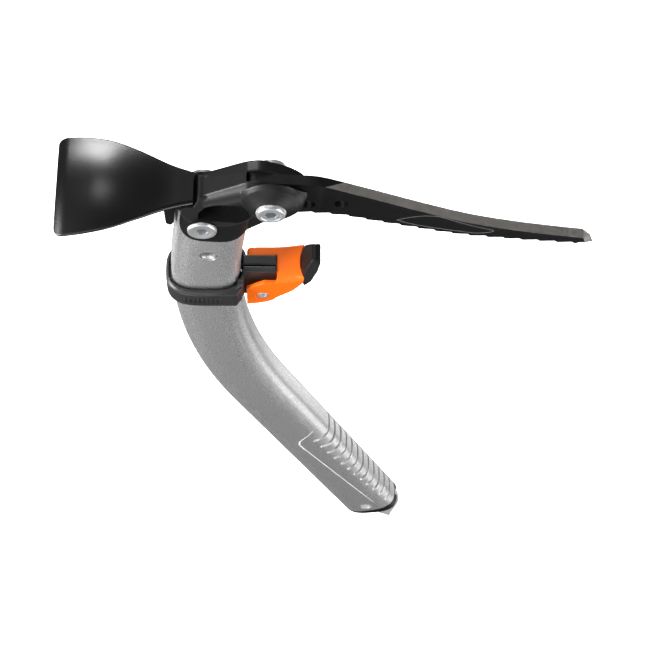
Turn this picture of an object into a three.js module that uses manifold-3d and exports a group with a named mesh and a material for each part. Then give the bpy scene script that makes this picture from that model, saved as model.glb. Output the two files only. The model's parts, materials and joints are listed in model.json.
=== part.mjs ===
// A compact mountaineering ice axe: curved aluminium shaft, steel head with adze and
// bolted pick, sliding hand rest with a locking trigger, and a plate spike.
//
// Millimetres. +Z runs up the straight lower handle, +X points the way the pick points,
// +Y is across the axe. The origin is the tip of the spike, on the handle's centre line.
//
// Three local frames are used, each a group of its own:
//   the row frame      handle, plug, spike
//   the collar frame   on the shaft's centre line at the hand rest, z along the shaft
//   the head frame     at the centre of the shaft's top end, z along the shaft there

import * as THREE from 'three';
import { mergeVertices } from 'three/addons/utils/BufferGeometryUtils.js';
import Module from 'manifold-3d';

const wasm = await Module();
wasm.setup();

// ---------------------------------------------------------------- driving dimensions

const GAP = 0.3;                    // between pieces that touch on the real axe
const DEG = Math.PI / 180;

// shaft: a squarish oval tube
const SHAFT_A = 16.5;               // half depth, fore and aft
const SHAFT_B = 11;                 // half width, side to side
const SECTION_POWER = 3;            // 2 is an ellipse, larger is squarer
const OVAL_SIDES = 24;
const WALL = 1.6;
const SHAFT_FOOT = 37;              // height of the tube's lower end above the spike tip
const BEND_START = 215;             // height where the straight handle ends
const BEND_RADIUS = 345;
const BEND = 27.8 * DEG;            // how far the upper shaft leans to the pick
const TOP_STRAIGHT = 34;            // straight stretch above the bend

// grip grooves on the front of the handle
const GROOVES = 12;
const GROOVE_TOP = 152;
const GROOVE_PITCH = 9.6;
const GROOVE_HEIGHT = 2.6;
const GROOVE_DEPTH = 0.8;
const GROOVE_REACH = 7;             // grooves run forward from this x

// head
const TONGUE_OUT = 13;              // half width over the two tongues
const TONGUE_FOOT = -15.5;
const CHEEK_OUT = 9;                // half width over the cheeks
const SEAT_DEPTH = 0.3;             // spot faces under the pick bolt
const WASHER = 1.2;
const WASHER_R = 7.2;
const SHAFT_BOLT_AT = [-4.5, -4.4];
const PICK_BOLT_AT = [24.5, 14];
const UPPER_PIN_AT = [0.2, -33.4];

// pick and adze
const PICK_HALF = 2.5;              // half the blade's thickness
const TANG_HALF = 2;                // the tang in the head is ground a little thinner
const TANG_END = 41;
const PICK_HOLES = [[42, 5.6], [56.6, 8]];
const PICK_END = 175;               // x where the spine ends
const PICK_END_Z = -9.6;
const PICK_TIP = [178.2, -16.4];
const PICK_HOLE_R = 3.2;
const TEETH = 17;
const TOOTH_START = 35.8;             // x of the notch nearest the head
const TOOTH_PITCH = 8.2;
const TOOTH_RUN = 1.7;              // length of each tooth's steep face
const TOOTH_HALF = 0.55;            // half the height of that face
const ADZE_NECK = -9.8;
const ADZE_END = -70;
const ADZE_EDGE_Z = 9.3;            // level of the adze's side edges near the neck

// hand rest
const COLLAR_ANGLE = 21.7 * DEG;    // place along the bend, up from its lower end
const COLLAR_HALF = 6;              // half height of the band
const LUG_TOP = 11.3;
const LUG_END = 33.3;
const LUG_OUT = 5;
const PIVOT = [27.1, -6.4];
const COVER_OUT = 9.3;              // half width of the trigger cover
const COVER_IN = 7.2;
const COVER_BACK = 33.9;            // where the fork ends and the finger piece starts
const BEAK_SEAM_X = 44.4;
const BEAK_SEAM_R = 21.2;
const BEAK_SEAM_Z = 8;

// spike
const SPIKE_HALF = 1.5;
const SPIKE_PIN_Z = 44.2;
const PIN_R = 4;
const LEASH_EYE = [1.5, 24];
const LEASH_EYE_R = 5.5;

// ---------------------------------------------------------------- materials

const metal = (color, roughness) =>
  new THREE.MeshStandardMaterial({ color, roughness, metalness: 1 });
const plastic = (color, roughness) =>
  new THREE.MeshStandardMaterial({ color, roughness, metalness: 0 });

const ANODISED = metal(0xb4b6b9, 0.42);
const FORGED = metal(0x26272a, 0.45);
const BLADE = metal(0x1c1d1f, 0.38);
const ZINC = metal(0xc9ccd0, 0.3);
const STEEL = metal(0x9a9ca0, 0.4);
const BLACK = plastic(0x17181a, 0.5);
const RUBBER = plastic(0x121314, 0.7);
const ORANGE = plastic(0xf26a1b, 0.4);

// ---------------------------------------------------------------- solids

// A closed geometry becomes a solid that can be joined and cut.
function solid(geometry) {
  const bare = geometry.clone();
  bare.deleteAttribute('normal');
  bare.deleteAttribute('uv');
  const merged = mergeVertices(bare, 1e-4);
  return new wasm.Manifold(new wasm.Mesh({
    numProp: 3,
    vertProperties: new Float32Array(merged.attributes.position.array),
    triVerts: new Uint32Array(merged.index.array),
  }));
}

function geometryOf(manifold) {
  const mesh = manifold.getMesh();
  const geometry = new THREE.BufferGeometry();
  geometry.setAttribute('position', new THREE.BufferAttribute(mesh.vertProperties, 3));
  geometry.setIndex(new THREE.BufferAttribute(mesh.triVerts, 1));
  geometry.computeVertexNormals();
  return geometry;
}

function piece(name, material, manifold, parent) {
  const mesh = new THREE.Mesh(geometryOf(manifold), material);
  mesh.name = name;
  parent.add(mesh);
  return mesh;
}

const shapeOf = (points) => new THREE.Shape(points.map(([x, y]) => new THREE.Vector2(x, y)));

// An x,z outline as a slab across the axe, from y0 to y1.
function sideSlab(shape, y0, y1) {
  const geometry = new THREE.ExtrudeGeometry(shape, {
    depth: y1 - y0, bevelEnabled: false, curveSegments: 8,
  });
  geometry.rotateX(Math.PI / 2);
  geometry.translate(0, y1, 0);
  return solid(geometry);
}

// An x,y outline as a prism from z0 to z1.
function planPrism(shape, z0, z1) {
  const geometry = new THREE.ExtrudeGeometry(shape, {
    depth: z1 - z0, bevelEnabled: false, curveSegments: 8,
  });
  geometry.translate(0, 0, z0);
  return solid(geometry);
}

// A y,z outline as a prism from x0 to x1.
function frontPrism(shape, x0, x1) {
  const geometry = new THREE.ExtrudeGeometry(shape, {
    depth: x1 - x0, bevelEnabled: false, curveSegments: 8,
  });
  const turn = new THREE.Matrix4().makeBasis(
    new THREE.Vector3(0, 1, 0), new THREE.Vector3(0, 0, 1), new THREE.Vector3(1, 0, 0));
  geometry.applyMatrix4(turn);
  geometry.translate(x0, 0, 0);
  return solid(geometry);
}

function box(x0, x1, y0, y1, z0, z1) {
  const geometry = new THREE.BoxGeometry(x1 - x0, y1 - y0, z1 - z0);
  geometry.translate((x0 + x1) / 2, (y0 + y1) / 2, (z0 + z1) / 2);
  return solid(geometry);
}

// A turned piece on an axis across the axe: profile points are [radius, y].
function turned([x, z], profile, sides = 24) {
  const points = profile.map(([r, y]) => new THREE.Vector2(r, y));
  const geometry = new THREE.LatheGeometry(points, sides);
  geometry.translate(x, 0, z);
  return solid(geometry);
}

const rod = (at, r, y0, y1, sides = 24) =>
  turned(at, [[0, y0], [r, y0], [r, y1], [0, y1]], sides);

// A hexagonal socket to be cut into a bolt face.
const socket = (at, r, y0, y1) => rod(at, r, y0, y1, 6);

// Rings of equal length, each a list of [x, y, z], skinned into one closed body.
function loft(rings) {
  const n = rings[0].length;
  const position = rings.flat(2);
  const index = [];
  for (let i = 0; i + 1 < rings.length; i += 1) {
    for (let j = 0; j < n; j += 1) {
      const a = i * n + j;
      const b = i * n + ((j + 1) % n);
      index.push(a, b, b + n, a, b + n, a + n);
    }
  }
  const last = (rings.length - 1) * n;
  for (let j = 1; j + 1 < n; j += 1) {
    index.push(0, j + 1, j);
    index.push(last, last + j, last + j + 1);
  }
  const geometry = new THREE.BufferGeometry();
  geometry.setAttribute('position', new THREE.Float32BufferAttribute(position, 3));
  geometry.setIndex(index);
  return solid(geometry);
}

// The shaft's squarish oval, with half depth a and half width b.
function oval(a, b) {
  const points = [];
  for (let i = 0; i < OVAL_SIDES; i += 1) {
    const t = (2 * Math.PI * i) / OVAL_SIDES;
    const c = Math.cos(t);
    const s = Math.sin(t);
    points.push([
      a * Math.sign(c) * Math.abs(c) ** (2 / SECTION_POWER),
      b * Math.sign(s) * Math.abs(s) ** (2 / SECTION_POWER),
    ]);
  }
  return points;
}

const shaftPrism = (grow, z0, z1) =>
  planPrism(shapeOf(oval(SHAFT_A + grow, SHAFT_B + grow)), z0, z1);

// ---------------------------------------------------------------- the shaft's line

const BEND_STEPS = 14;

// Where the centre line is: `angle` round the bend, then `on` further along its tangent.
function onLine(angle, on) {
  return {
    x: BEND_RADIUS * (1 - Math.cos(angle)) + on * Math.sin(angle),
    z: BEND_START + BEND_RADIUS * Math.sin(angle) + on * Math.cos(angle),
    angle,
  };
}

// A bar with the shaft's section along the whole centre line, `overrun` longer at each end.
function bar(a, b, overrun) {
  const stations = [onLine(0, SHAFT_FOOT - BEND_START - overrun)];
  for (let i = 0; i <= BEND_STEPS; i += 1) stations.push(onLine((BEND * i) / BEND_STEPS, 0));
  stations.push(onLine(BEND, TOP_STRAIGHT + overrun));
  return loft(stations.map(({ x, z, angle }) => oval(a, b).map(
    ([u, y]) => [x + u * Math.cos(angle), y, z - u * Math.sin(angle)])));
}

// A group whose frame sits on the centre line, z along the shaft.
function frameAt({ x, z, angle }) {
  const group = new THREE.Group();
  group.position.set(x, 0, z);
  group.rotation.y = angle;
  group.updateMatrix();
  return group;
}

// ---------------------------------------------------------------- groups

const axe = new THREE.Group();
const head = frameAt(onLine(BEND, TOP_STRAIGHT));
const rest = frameAt(onLine(COLLAR_ANGLE, 0));
axe.add(head, rest);

const inRow = (manifold) => manifold.transform(head.matrix.toArray());

// ---------------------------------------------------------------- shaft

function makeShaft() {
  let body = bar(SHAFT_A, SHAFT_B, 0);
  for (let i = 0; i < GROOVES; i += 1) {
    const z = GROOVE_TOP - i * GROOVE_PITCH;
    const band = box(GROOVE_REACH, 20, -14, 14, z - GROOVE_HEIGHT / 2, z + GROOVE_HEIGHT / 2);
    const core = shaftPrism(-GROOVE_DEPTH, z - GROOVE_HEIGHT, z + GROOVE_HEIGHT);
    body = body.subtract(band.subtract(core));
  }
  body = body.subtract(bar(SHAFT_A - WALL, SHAFT_B - WALL, 4));
  body = body.subtract(inRow(rod(SHAFT_BOLT_AT, 3 + GAP, -20, 20)));
  body = body.subtract(inRow(rod(UPPER_PIN_AT, PIN_R + GAP, -20, 20)));
  body = body.subtract(rod([0, SPIKE_PIN_Z], PIN_R + GAP, -20, 20));
  piece('shaft', ANODISED, body, axe);
}

function makeShaftInsert() {
  const body = shaftPrism(-WALL - GAP, -42, -GAP)
    .subtract(rod(SHAFT_BOLT_AT, 3 + GAP, -20, 20))
    .subtract(rod(UPPER_PIN_AT, PIN_R + GAP, -20, 20));
  piece('shaft_insert', BLACK, body, head);
}

// A tubular pin through the shaft, flush with it, its ends dished.
function makePin(name, at, parent) {
  const end = SHAFT_B - 0.4;
  const dish = 0.9;
  const body = turned(at, [
    [0, -end + dish], [PIN_R - 1.3, -end + dish], [PIN_R - 1.1, -end], [PIN_R, -end],
    [PIN_R, end], [PIN_R - 1.1, end], [PIN_R - 1.3, end - dish], [0, end - dish],
  ]);
  piece(name, STEEL, body, parent);
}

// ---------------------------------------------------------------- head body

// Cross-sections of the spine and cheeks along x, as
// [x, half width of the flat top, top z, shoulder half width, shoulder z].
const TOP_AT_NOTCH = 12.9;
const topAt = (x) => TOP_AT_NOTCH + (x + 6) * Math.tan(BEND);
const HEAD_SECTIONS = [
  [-6.2, 3.2, topAt(-6.2), CHEEK_OUT, topAt(-6.2) - 2.7],
  [12.4, 2.8, topAt(12.4), CHEEK_OUT, topAt(12.4) - 2.9],
  [17.6, 3.4, 22.6, CHEEK_OUT, 21.9],
  [22, 4, 22.3, CHEEK_OUT + 0.2, 21.6],
  [28, 4, 21.4, CHEEK_OUT, 20.9],
  [32.6, 3.8, 20.4, 8.3, 19.6],
  [36.2, 3.5, 18.9, 7.4, 18],
  [38.8, 3.2, 17.8, 6, 17],
  [40.4, 2.8, 17, 4, 16.6],
];

function makeSpineBlank() {
  const foot = -20;
  const ring = ([x, top, z, out, shoulder]) => [
    [x, -out, foot], [x, out, foot], [x, out, shoulder],
    [x, top, z], [x, -top, z], [x, -out, shoulder],
  ];
  return loft(HEAD_SECTIONS.map(ring));
}

function makeHeadBody() {
  // side outline of everything forward of the adze notch
  const outline = new THREE.Shape();
  outline.moveTo(-12.3, 7.2);
  outline.lineTo(-9.6, 7.2);
  outline.lineTo(-6.2, 12);
  outline.lineTo(-6.2, 30);
  outline.lineTo(42, 30);
  outline.lineTo(40.4, 16);
  outline.quadraticCurveTo(39.2, 10.5, 35.6, 7.9);
  outline.quadraticCurveTo(29, 4.6, 22.9, -1.2);
  outline.lineTo(13.7, -11.7);
  outline.quadraticCurveTo(11, TONGUE_FOOT, 4, TONGUE_FOOT);
  outline.lineTo(-5, TONGUE_FOOT);
  outline.quadraticCurveTo(-12.3, TONGUE_FOOT, -12.3, -8);
  outline.closePath();

  // tongues down both sides of the shaft, leaning in to the spine above
  const lean = shapeOf([
    [-TONGUE_OUT, -20], [TONGUE_OUT, -20], [TONGUE_OUT, -0.5], [CHEEK_OUT, 8],
    [CHEEK_OUT, 12], [-CHEEK_OUT, 12], [-CHEEK_OUT, 8], [-TONGUE_OUT, -0.5],
  ]);
  const tongues = shaftPrism(2, -20, 12)
    .intersect(frontPrism(lean, -14, 18))
    .intersect(sideSlab(outline, -20, 20));
  const spine = makeSpineBlank().intersect(sideSlab(outline, -20, 20));

  // platform under the adze's neck, with the heel lug behind the shaft
  const heel = new THREE.Shape();
  heel.moveTo(-12, 2);
  heel.lineTo(-17, 0.5);
  heel.lineTo(-17, -12);
  heel.quadraticCurveTo(-17.6, -17, -20.4, -14);
  heel.lineTo(-23, 4.5);
  heel.quadraticCurveTo(-23, 7.2, -20, 7.2);
  heel.lineTo(-12, 7.2);
  heel.closePath();
  const platform = sideSlab(heel, -6.4, 6.4);

  // eye for a carabiner, arched over
  const eye = new THREE.Shape();
  eye.moveTo(-7, 1.5);
  eye.lineTo(-7, 4.6);
  eye.quadraticCurveTo(-2, 10.4, 6, 11);
  eye.lineTo(12.4, 11.5);
  eye.quadraticCurveTo(14.4, 11.4, 15, 8.5);
  eye.lineTo(17, 1.5);
  eye.closePath();

  const [bx, bz] = PICK_BOLT_AT;
  const body = spine.add(tongues).add(platform)
    .subtract(sideSlab(eye, -20, 20))
    .subtract(shaftPrism(GAP, -30, GAP))
    .subtract(box(12.8, 45, -TANG_HALF - GAP, TANG_HALF + GAP, -20, 40))
    .subtract(rod(SHAFT_BOLT_AT, 3 + GAP, -20, 20))
    .subtract(rod(PICK_BOLT_AT, 4 + GAP, -20, 20))
    .subtract(rod([bx, bz], 8.2, -20, -CHEEK_OUT + SEAT_DEPTH))
    .subtract(rod([bx, bz], 8.2, CHEEK_OUT - SEAT_DEPTH, 20))
    .subtract(rodUp(-17, -3.6, 1.5 + GAP, 4, 10))
    .subtract(rodUp(-17, 3.6, 1.5 + GAP, 4, 10));
  piece('head_body', FORGED, body, head);
}

// A plain pin standing along z.
function rodUp(x, y, r, z0, z1) {
  const geometry = new THREE.CylinderGeometry(r, r, z1 - z0, 16);
  geometry.rotateX(Math.PI / 2);
  geometry.translate(x, y, (z0 + z1) / 2);
  return solid(geometry);
}

// ---------------------------------------------------------------- adze

// Half width of the adze along x, from the neck to the cutting edge.
const ADZE_SIDE = new THREE.SplineCurve([
  [-9.8, 8.1], [-20, 11.2], [-34, 17.4], [-46, 22.1], [-58, 24.5], [-70, 25.2],
].map(([x, w]) => new THREE.Vector2(x, w)));

function makeAdze() {
  const stations = 14;
  const across = 8;
  const rings = [];
  for (let i = 0; i <= stations; i += 1) {
    const { x, y: side } = ADZE_SIDE.getPoint(i / stations);
    const out = ADZE_NECK - x;                       // distance out from the neck
    const toEdge = x - ADZE_END;
    const corner = Math.max(0, 3.5 - toEdge);        // rounded corners of the edge
    const half = side - 3.5 + Math.sqrt(Math.max(0, 3.5 ** 2 - corner ** 2));
    const droop = 0.0037 * Math.max(0, out - 16.2) ** 2;
    const arch = 4.2 * THREE.MathUtils.smoothstep(out, 8, 46);
    const thick = THREE.MathUtils.lerp(3, 2.2, out / 60) * (toEdge < 0.1 ? 0.25 : 1);
    const level = (y) => ADZE_EDGE_Z - droop + arch * (1 - (y / side) ** 2);
    const ys = Array.from({ length: across + 1 }, (_, j) => half * ((2 * j) / across - 1));
    rings.push([
      ...ys.map((y) => [x, y, level(y) + thick / 2]),
      ...ys.reverse().map((y) => [x, y, level(y) - thick / 2]),
    ]);
  }
  const body = loft(rings)
    .subtract(rodUp(-17, -3.6, 1.5 + GAP, 0, 9.6))
    .subtract(rodUp(-17, 3.6, 1.5 + GAP, 0, 9.6));
  piece('adze', BLADE, body, head);
  piece('adze_dowel_left', STEEL, rodUp(-17, -3.6, 1.5, 4 + GAP, 9.3), head);
  piece('adze_dowel_right', STEEL, rodUp(-17, 3.6, 1.5, 4 + GAP, 9.3), head);
}

// ---------------------------------------------------------------- pick

function makePick() {
  const spine = new THREE.SplineCurve([
    [20, 22.3], [33, 22.5], [42, 22.8], [48, 21.8], [59, 18.1], [70, 14.2], [93, 5.8],
    [116, -1.6], [139, -6], [160, -8.3], [172.4, -9.2], [175, PICK_END_Z],
  ].map(([x, z]) => new THREE.Vector2(x, z)));
  const lower = [
    [34, -1.4], [47, -0.9], [54, -1.1], [61, -2], [72, -4.6], [84, -7], [95, -9.2], [107, -11.5],
    [120, -13], [141, -13.9], [180, -14.2],
  ];
  const lowerAt = (x) => {
    const i = lower.findIndex(([knot]) => knot > x);
    const [[x0, z0], [x1, z1]] = [lower[i - 1], lower[i]];
    return THREE.MathUtils.mapLinear(x, x0, x1, z0, z1);
  };
  const outline = new THREE.Shape();
  outline.moveTo(13.4, 19);
  outline.quadraticCurveTo(13.4, 22.3, 17, 22.3);
  spine.getPoints(24).forEach((p) => outline.lineTo(p.x, p.y));
  outline.lineTo(...PICK_TIP);
  outline.lineTo(171, -13.2);
  for (let i = TEETH - 1; i >= 0; i -= 1) {
    const x = TOOTH_START + i * TOOTH_PITCH;
    outline.lineTo(x + TOOTH_RUN, lowerAt(x + TOOTH_RUN) - TOOTH_HALF);
    outline.lineTo(x, lowerAt(x) + TOOTH_HALF);
  }
  outline.lineTo(34.6, -0.8);
  outline.lineTo(32, 3.4);
  outline.lineTo(19, 3.4);
  outline.quadraticCurveTo(15.2, 6.5, 13.4, 12);
  outline.closePath();

  let body = sideSlab(outline, -PICK_HALF, PICK_HALF)
    .subtract(box(0, TANG_END, TANG_HALF, 5, -5, 30))
    .subtract(box(0, TANG_END, -5, -TANG_HALF, -5, 30));
  // the end is ground to a V from both sides, along a line that leans with the tip
  const lean = (PICK_TIP[0] - PICK_END) / (PICK_TIP[1] - PICK_END_Z);
  const grind = shapeOf([[-4, -PICK_HALF - 1], [8, -PICK_HALF - 1], [8, 0], [0, 0]]);
  [1, -1].forEach((side) => {
    const wedge = planPrism(grind, -12, 4)
      .transform([1, 0, 0, 0, 0, side, 0, 0, lean, 0, 1, 0, PICK_END, 0, PICK_END_Z, 1]);
    body = body.subtract(wedge);
  });
  PICK_HOLES.forEach((at) => {
    body = body.subtract(rod(at, PICK_HOLE_R, -5, 5));
  });
  body = body.subtract(rod(PICK_BOLT_AT, 4 + GAP, -5, 5));
  piece('pick', BLADE, body, head);
}

// ---------------------------------------------------------------- head fasteners

// Low domed bolt: head on the near side, shank through to the far side.
function makeBolt(name, at, shank, headR, seat, rise, reach) {
  const body = turned(at, [
    [0, -seat - rise], [headR - 1.1, -seat - rise], [headR, -seat - rise + 0.9],
    [headR, -seat], [shank, -seat], [shank, reach], [0, reach],
  ]).subtract(socket(at, 3, -seat - rise - 1, -seat - 0.4));
  piece(name, ZINC, body, head);
}

// Round sleeve nut on the far side.
function makeNut(name, at, bore, headR, seat, rise) {
  const outer = seat + rise;
  const body = turned(at, [
    [bore, seat], [headR, seat], [headR, outer - 0.9], [headR - 1.1, outer],
    [bore, outer], [bore, seat],
  ]);
  piece(name, ZINC, body, head);
}

function makeWasher(name, at, y0, y1) {
  const body = turned(at, [[4 + GAP, y0], [WASHER_R, y0], [WASHER_R, y1], [4 + GAP, y1], [4 + GAP, y0]]);
  piece(name, ZINC, body, head);
}

function makeHeadFasteners() {
  const tongue = TONGUE_OUT + GAP;
  makeBolt('shaft_bolt', SHAFT_BOLT_AT, 3, 6.7, tongue, 1.5, 14.4);
  makeNut('shaft_bolt_nut', SHAFT_BOLT_AT, 3 + GAP, 6.7, tongue, 1.5);
  const cheek = CHEEK_OUT - SEAT_DEPTH + GAP;
  const seat = cheek + WASHER + GAP;
  makeWasher('pick_washer', PICK_BOLT_AT, -cheek - WASHER, -cheek);
  makeBolt('pick_bolt', PICK_BOLT_AT, 4, 7, seat, 3.8, cheek + 1.6);
  makeNut('pick_bolt_nut', PICK_BOLT_AT, 4 + GAP, 7, cheek, 2);
}

// ---------------------------------------------------------------- hand rest

function makeCollar() {
  const ring = planPrism(shapeOf(oval(19.3, 14.9)), -COLLAR_HALF, COLLAR_HALF);
  const shoulders = planPrism(shapeOf([                // square front corners of the band
    [0, -14.9], [13.6, -14.9], [14.8, -14], [17.4, -9.3], [17.4, 9.3], [14.8, 14],
    [13.6, 14.9], [0, 14.9],
  ]), -COLLAR_HALF, COLLAR_HALF);
  const rise = planPrism(shapeOf(oval(19.4, 13.2)), -COLLAR_HALF, 9.6)
    .intersect(box(13, 30, -9.2, 9.2, -20, 20));
  const profile = new THREE.Shape();
  profile.moveTo(17.4, -11.6);
  profile.lineTo(PIVOT[0], -11.6);
  profile.absarc(PIVOT[0], PIVOT[1], 5.2, -Math.PI / 2, 0, false);
  profile.lineTo(LUG_END, PIVOT[1]);
  profile.lineTo(LUG_END, LUG_TOP);
  profile.lineTo(17.4, LUG_TOP);
  profile.closePath();
  const lugs = sideSlab(profile, -LUG_OUT, LUG_OUT);
  let body = ring.add(shoulders).add(rise).add(lugs)
    .subtract(shaftPrism(1.4, -30, 30))
    .subtract(box(10, 40, -0.4, 0.4, -30, 30))
    .subtract(rod(PIVOT, 2 + GAP, -20, 20));
  for (let i = 0; i < 9; i += 1) {                     // grip ribs on the near face
    const x = -11 + i * 2.2;
    body = body.subtract(box(x - 0.4, x + 0.4, -16, -14.2, -2.5, 2.5));
  }
  piece('collar', BLACK, body, rest);
}

// Soft sleeve between band and shaft, split at the front like the band.
function makeCollarLiner() {
  const body = shaftPrism(1.1, -5.2, 5.2)
    .subtract(shaftPrism(0.35, -10, 10))
    .subtract(box(10, 40, -0.7, 0.7, -10, 10));
  piece('collar_liner', RUBBER, body, rest);
}

// Trigger cover sections along x: [x, top z, bottom z].
const COVER_SECTIONS = [
  [19.4, 7.2, -15.2], [20.8, 9.4, -15.1], [25, 10, -14.2], [29.4, 10.1, -12.4],
  [32, 10.2, -11], [34, 10.3, -7.8], [37.5, 10.8, -4.6], [41, 11.6, -1.2],
  [44, 12.4, 3.2], [46.8, 13, 8.6], [49, 13.5, 11.8],
];

function makeTriggerCover() {
  const r = 2.6;                                       // shoulder radius
  const ring = ([x, top, foot]) => {
    const w = COVER_OUT;
    const s = Math.min(r, (top - foot) / 3);
    const arc = [0, 22.5, 45, 67.5, 90].map((a) => [
      w - s + s * Math.cos(a * DEG), top - s + s * Math.sin(a * DEG),
    ]);
    const right = [[w - 1, foot], [w, foot + 1], ...arc];
    const left = right.map(([y, z]) => [-y, z]).reverse();
    return [...right, ...left].map(([y, z]) => [x, y, z]);
  };
  // space for the lugs: square above the pivot, round below it
  const hollow = new THREE.Shape();
  hollow.moveTo(15, 8);
  hollow.lineTo(COVER_BACK, 8);
  hollow.lineTo(COVER_BACK, PIVOT[1]);
  hollow.absarc(PIVOT[0], PIVOT[1], COVER_BACK - PIVOT[0], 0, -Math.PI / 2, true);
  hollow.lineTo(PIVOT[0], -20);
  hollow.lineTo(15, -20);
  hollow.closePath();
  const dip = shapeOf([[15, 0.7], [31, 10.3], [31, 20], [15, 20]]);   // slope of the near arm
  const body = loft(COVER_SECTIONS.map(ring))
    .subtract(sideSlab(dip, -12, -COVER_IN + 0.5))
    .subtract(sideSlab(hollow, -COVER_IN, COVER_IN))
    .subtract(box(15, COVER_BACK, -COVER_IN, LUG_OUT + 0.3, 0, 20))
    .subtract(box(15, COVER_BACK - 0.1, -12, -COVER_IN + 0.5, 7.4, 20))
    .subtract(beakSide(0))
    .subtract(rod(PIVOT, 1.9 + GAP, -20, 20))
    .subtract(rod(PIVOT, 3.6 + GAP, -20, -COVER_OUT + 1.2))
    .subtract(rod(PIVOT, 3.6 + GAP, COVER_OUT - 1.2, 20));
  piece('trigger_cover', ORANGE, body, rest);
}

// Everything forward of the dished seam between cover and beak.
function beakSide(inset) {
  const geometry = new THREE.SphereGeometry(BEAK_SEAM_R - inset, 48, 32);
  geometry.translate(BEAK_SEAM_X + BEAK_SEAM_R, 0, BEAK_SEAM_Z);
  return solid(geometry);
}

function makeTriggerBeak() {
  const profile = shapeOf([
    [42, 2.4], [42, 12.8], [45.4, 13.2], [51, 22.4], [55.6, 20.2], [53.6, 15],
    [50.4, 9.8], [47.6, 6], [44.6, 2.4],
  ]);
  const front = shapeOf([
    [-COVER_OUT, 0], [COVER_OUT, 0], [COVER_OUT, 11.4], [4.6, 22.4], [-4.2, 22.4],
    [-COVER_OUT, 10],
  ]);
  const body = sideSlab(profile, -12, 12)
    .intersect(frontPrism(front, 40, 58))
    .intersect(beakSide(GAP));
  piece('trigger_beak', RUBBER, body, rest);
}

function makeTriggerPivot() {
  const seat = COVER_OUT - 1.2 - GAP;
  const face = COVER_OUT - 0.2;
  const screw = turned(PIVOT, [
    [0, -face], [3.3, -face], [3.6, -face + 0.4], [3.6, -seat - 0.6], [1.9, -seat - 0.6],
    [1.9, face - 1.2], [0, face - 1.2],
  ]).subtract(socket(PIVOT, 1.5, -face - 1, -face + 1));
  piece('trigger_screw', ZINC, screw, rest);
  const nut = turned(PIVOT, [
    [1.9 + GAP, seat + 0.6], [3.6, seat + 0.6], [3.6, face - 0.4], [3.3, face],
    [1.9 + GAP, face], [1.9 + GAP, seat + 0.6],
  ]);
  piece('trigger_nut', ZINC, nut, rest);
  const near = -LUG_OUT - GAP;
  const far = -COVER_IN + GAP;
  [['cam_washer_near', far, near], ['cam_washer_far', -near, -far]].forEach(([name, y0, y1]) => {
    const washer = turned(PIVOT, [
      [2 + GAP, y0], [4.8, y0], [4.8, y1], [2 + GAP, y1], [2 + GAP, y0],
    ]);
    piece(name, STEEL, washer, rest);
  });
}

// ---------------------------------------------------------------- foot of the handle

function makeEndPlug() {
  const skirt = shapeOf([
    [-20, SHAFT_FOOT - GAP], [-20, 35.4], [-13, 34.4], [4, 31.6], [15, 30.2],
    [20, 32.6], [20, SHAFT_FOOT - GAP],
  ]);
  const cap = shaftPrism(0, 20, SHAFT_FOOT - GAP).intersect(sideSlab(skirt, -20, 20));
  const spigot = shaftPrism(-WALL - GAP, 34.6, 62);
  const body = cap.add(spigot)
    .subtract(box(-8, 8, -SPIKE_HALF - GAP, SPIKE_HALF + GAP, 30, 55))
    .subtract(box(-14, 20, -SPIKE_HALF - GAP, SPIKE_HALF + GAP, 20, 36.4))
    .subtract(rod([0, SPIKE_PIN_Z], PIN_R + GAP, -20, 20));
  piece('end_plug', BLACK, body, axe);
}

function makeSpike() {
  const outline = new THREE.Shape();
  outline.moveTo(0, 0);
  outline.lineTo(7.6, 11.7);
  outline.quadraticCurveTo(12.5, 18.6, 14.6, 24);
  outline.quadraticCurveTo(16.6, 29, 16.9, 36);
  outline.lineTo(7.4, 36);
  outline.lineTo(7.4, 54);
  outline.lineTo(-7.4, 54);
  outline.lineTo(-7.4, 36);
  outline.lineTo(-13, 36);
  outline.quadraticCurveTo(-12.6, 22, -4.6, 8.4);
  outline.closePath();
  const body = sideSlab(outline, -SPIKE_HALF, SPIKE_HALF)
    .subtract(rod(LEASH_EYE, LEASH_EYE_R, -5, 5))
    .subtract(rod([0, SPIKE_PIN_Z], PIN_R + GAP, -5, 5));
  piece('spike', STEEL, body, axe);
}

// ---------------------------------------------------------------- assembly

makeShaft();
makeShaftInsert();
makePin('upper_pin', UPPER_PIN_AT, head);
makeHeadBody();
makeAdze();
makePick();
makeHeadFasteners();
makeCollar();
makeCollarLiner();
makeTriggerCover();
makeTriggerBeak();
makeTriggerPivot();
makeEndPlug();
makeSpike();
makePin('spike_pin', [0, SPIKE_PIN_Z], axe);

export default axe;
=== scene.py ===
"""Looks of a compact ice axe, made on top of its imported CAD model.

The CAD nodes fix every place and size. Shapes are drawn here in millimetres, in one of three
local frames, and are written to their meshes in metres in the CAD model's own frame:
  ROW    the model's frame: handle, plug, spike
  REST   on the shaft's centre line at the hand rest, z along the shaft
  HEAD   at the middle of the shaft's top end, z along the shaft there
"""

import json
import math

import bmesh
import bpy
from mathutils import Matrix, Vector

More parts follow.
